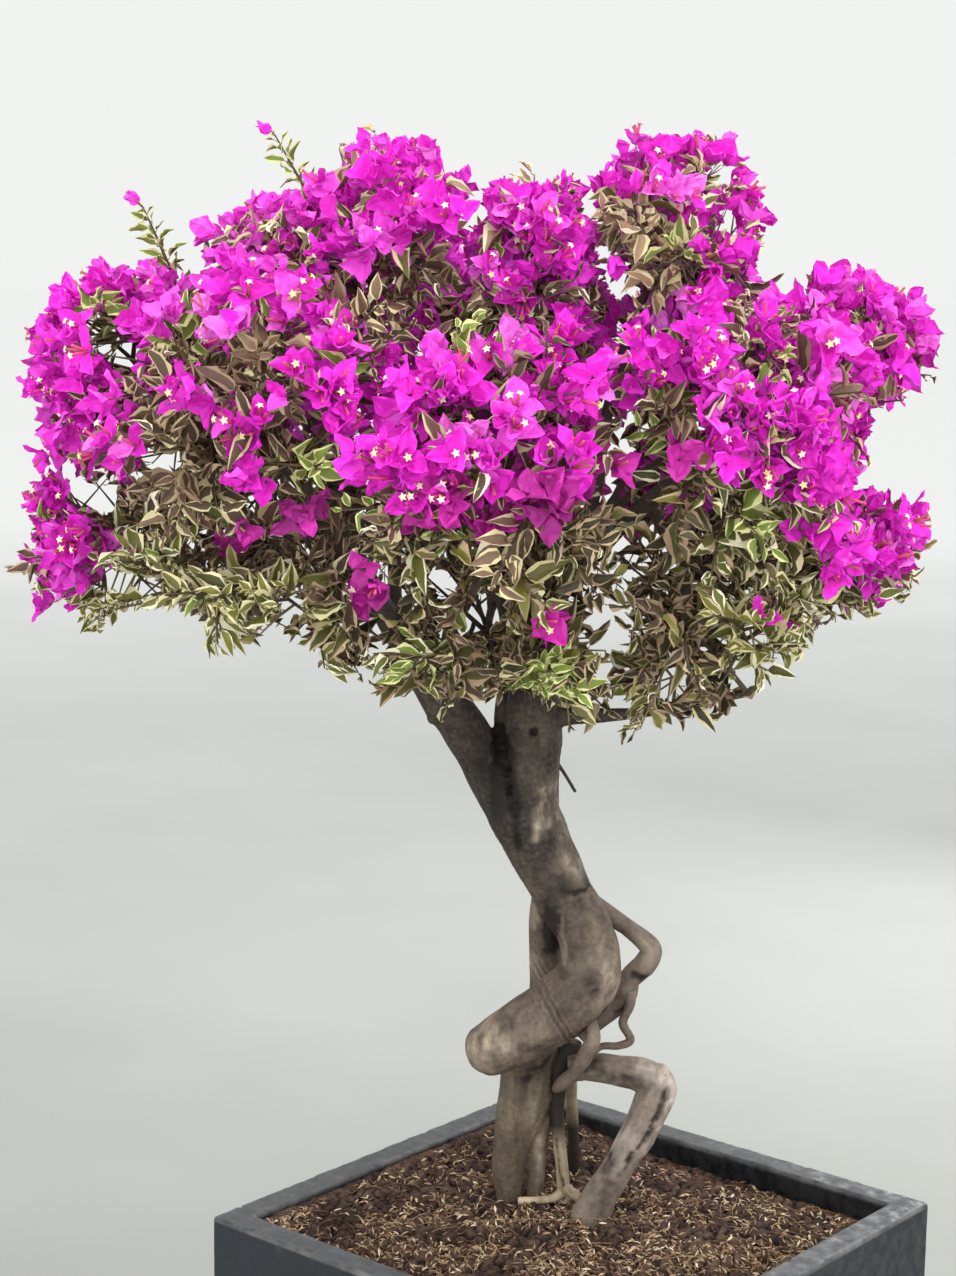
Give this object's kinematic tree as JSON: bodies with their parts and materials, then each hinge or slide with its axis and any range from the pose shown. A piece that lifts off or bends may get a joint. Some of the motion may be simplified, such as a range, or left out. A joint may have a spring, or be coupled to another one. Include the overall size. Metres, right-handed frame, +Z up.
{
  "type": "potted bougainvillea",
  "caption": "Bougainvillea trained as a small tree: a twisted trunk on exposed roots and a wide crown of magenta bracts and cream-edged leaves, in a square dark planter.",
  "frame": {"origin": "centre of the planter's flat underside", "axes": "+Z up along the plant's height; X and Y along the planter's square sides"},
  "size_m": [0.7398, 0.7731, 1.3455],
  "materials": {
    "cement": "matte",
    "mulch": "matte",
    "bark": "matte",
    "bracts": "matte",
    "leaves": "matte"
  },
  "bodies": {
    "root": {"planter": "cement", "soil": "mulch", "trunk": "bark", "right_leg_upper": "bark", "right_leg_lower": "bark", "inner_root": "bark", "back_root": "bark", "curved_root": "bark", "arm_root": "bark", "forearm_root": "bark", "loop_twig": "bark", "foot_root": "bark", "toe_root": "bark", "stub_twig": "bark", "left_bough": "bark", "low_bough": "bark", "dark_bough": "bark", "centre_bough": "bark", "right_bough": "bark", "front_bough": "bark", "back_bough": "bark", "back_left_bough": "bark", "left_low_bough": "bark", "front_left_bough": "bark", "far_left_low_bough": "bark", "top_right_bough": "bark", "front_right_bough": "bark", "back_right_bough": "bark", "right_low_bough": "bark", "front_low_bough": "bark", "far_left_high": "bracts", "top_left": "bracts", "centre_high": "bracts", "top_right": "bracts", "right_high": "bracts", "front_left": "bracts", "front": "bracts", "front_right": "bracts", "back_left": "bracts", "back": "bracts", "back_right": "bracts", "far_left_low": "leaves", "right_low": "leaves", "front_left_low": "leaves", "front_low": "leaves", "front_right_low": "leaves"}
  },
  "joints": []
}
